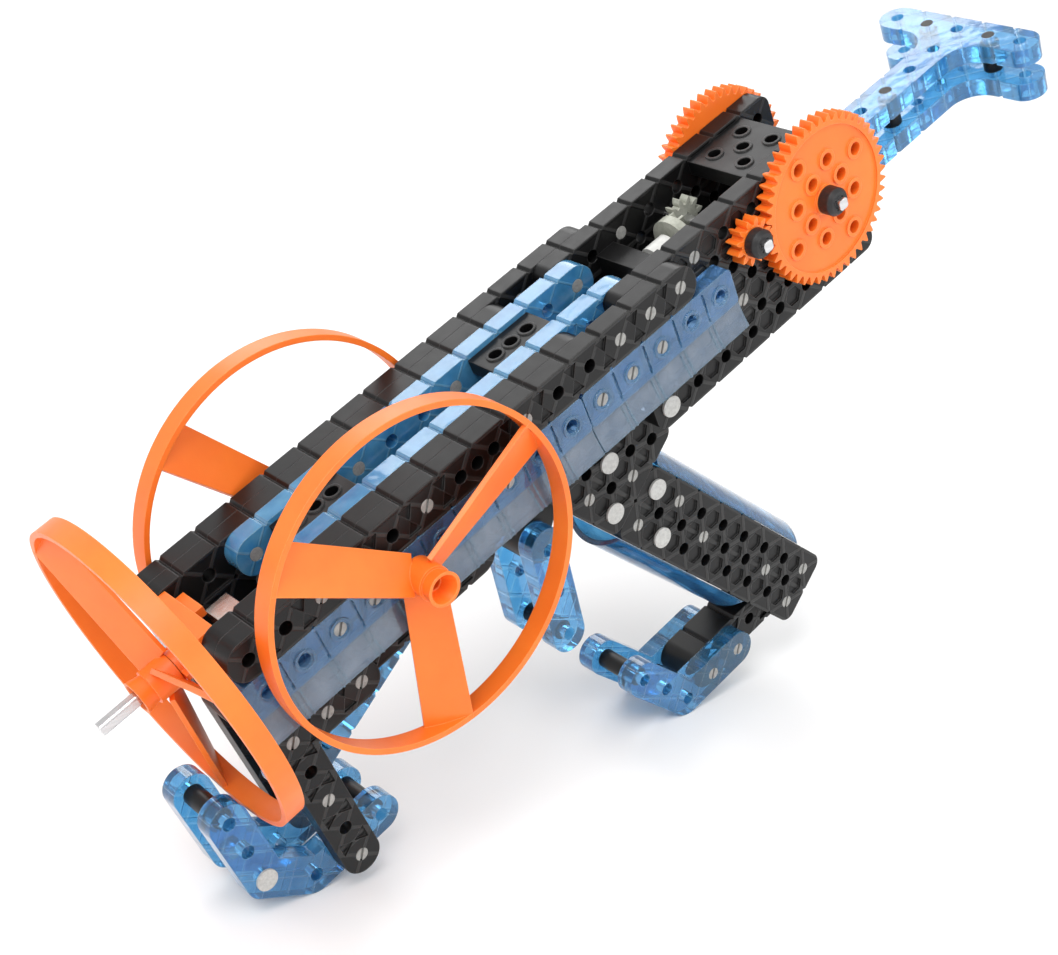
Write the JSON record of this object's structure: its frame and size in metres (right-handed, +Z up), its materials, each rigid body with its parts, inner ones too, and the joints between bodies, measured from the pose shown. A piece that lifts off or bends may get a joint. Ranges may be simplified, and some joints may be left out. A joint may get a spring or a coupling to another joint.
{
  "type": "toy rotor launcher",
  "caption": "Hand-pulled toy launcher built from a beam kit: holed body on two feet, grip, sliding T handle, gear train and ringed spinning rotors.",
  "frame": {"origin": "middle of the whole object seen from above, at the level of the ground that its feet rest on", "axes": "+X towards the rear, where the handle is; +Y to the left, looking forwards; +Z up. The body leans back 24 degrees on its feet"},
  "size_m": [0.3496, 0.1016, 0.2136],
  "materials": {
    "black": "moulded, satin",
    "clear_blue": "tinted clear moulded plastic",
    "orange": "moulded, satin",
    "grey_pin": "moulded grey, slotted end",
    "pale_cap": "pale moulded cap",
    "shaft_metal": "bright drawn square bar",
    "block_metal": "bright",
    "pale_gear": "moulded",
    "white_plastic": "moulded",
    "rubber_collar": "moulded rubber"
  },
  "bodies": {
    "frame": {"cap_pins": "pale_cap", "channel_beam_left": "clear_blue", "channel_beam_right": "clear_blue", "connectors": "black", "foot_spacers": "black", "front_brace": "clear_blue", "front_foot_left": "clear_blue", "front_foot_right": "clear_blue", "front_leg_left": "black", "front_leg_right": "black", "grip_brackets": "black", "grip_core": "black", "grip_panel_back": "clear_blue", "grip_panel_front": "clear_blue", "grip_plate_left": "black", "grip_plate_right": "black", "inner_beam_left": "black", "inner_beam_right": "black", "inner_plate_left": "black", "inner_plate_right": "black", "lower_beams": "black", "nose_housing": "orange", "outer_beam_left": "black", "outer_beam_right": "black", "plain_pins": "black", "rear_foot_beams": "black", "rear_foot_plates": "clear_blue", "rear_plate_left": "black", "rear_plate_right": "black", "shaft_bearings": "black", "side_panel_front_left": "clear_blue", "side_panel_front_right": "clear_blue", "side_panel_rear_left": "clear_blue", "side_panel_rear_right": "clear_blue", "slide_floor": "black", "slotted_pins": "grey_pin"},
    "handle": {"handle_plate_upper": "clear_blue", "handle_plate_lower": "clear_blue", "handle_spacers": "black", "handle_rack": "black"},
    "drive": {"drive_shaft": "shaft_metal", "drive_gear_right": "orange", "drive_gear_left": "orange", "rack_pinion": "orange", "drive_collars": "rubber_collar"},
    "cross": {"cross_shaft": "shaft_metal", "small_gears": "orange", "crown_pinion": "pale_gear", "cross_collars": "rubber_collar"},
    "output": {"output_shaft": "shaft_metal", "crown_gear": "pale_gear", "shaft_spacer": "white_plastic", "shaft_block": "block_metal", "rotor_driver": "orange", "nose_rotor": "orange"},
    "stored_rotor_right": {"side_rotor_right": "orange"},
    "stored_rotor_left": {"side_rotor_left": "orange"},
    "trigger": {"trigger_core": "black", "trigger_plates": "clear_blue", "trigger_spacer": "black"}
  },
  "joints": [
    {"name": "output_spin", "type": "hinge", "parent": "frame", "child": "output", "pos_m": [-0.13792, 0, 0.0868], "axis": [0.9135, 0, 0.4067], "range_deg": [0, 5390]},
    {"name": "cross_spin", "type": "hinge", "parent": "frame", "child": "cross", "pos_m": [0.04192, 0, 0.16687], "axis": [0, 1, 0], "range_deg": [0, 5391]},
    {"name": "drive_spin", "type": "hinge", "parent": "frame", "child": "drive", "pos_m": [0.0735, 0, 0.17398], "axis": [0, -1, 0], "range_deg": [0, 1348]},
    {"name": "handle_pull", "type": "slide", "parent": "frame", "child": "handle", "axis": [0.9135, 0, 0.4067], "range_m": [0, 0.1524]},
    {"name": "stored_rotor_right_off", "type": "slide", "parent": "frame", "child": "stored_rotor_right", "axis": [0, -1, 0], "range_m": [0, 0.012]},
    {"name": "stored_rotor_left_off", "type": "slide", "parent": "frame", "child": "stored_rotor_left", "axis": [0, 1, 0], "range_m": [0, 0.012]},
    {"name": "trigger_pull", "type": "hinge", "parent": "frame", "child": "trigger", "pos_m": [-0.02258, 0, 0.10159], "axis": [0, -1, 0], "range_deg": [0, 8], "stiffness_Nm_per_rad": 0.05, "springref_deg": -17.19}
  ],
  "couplings": [
    {"joint": "cross_spin", "follows": "output_spin", "ratio": 1},
    {"joint": "drive_spin", "follows": "output_spin", "ratio": 0.25},
    {"joint": "handle_pull", "follows": "output_spin", "m_per_rad": 0.0016189}
  ]
}
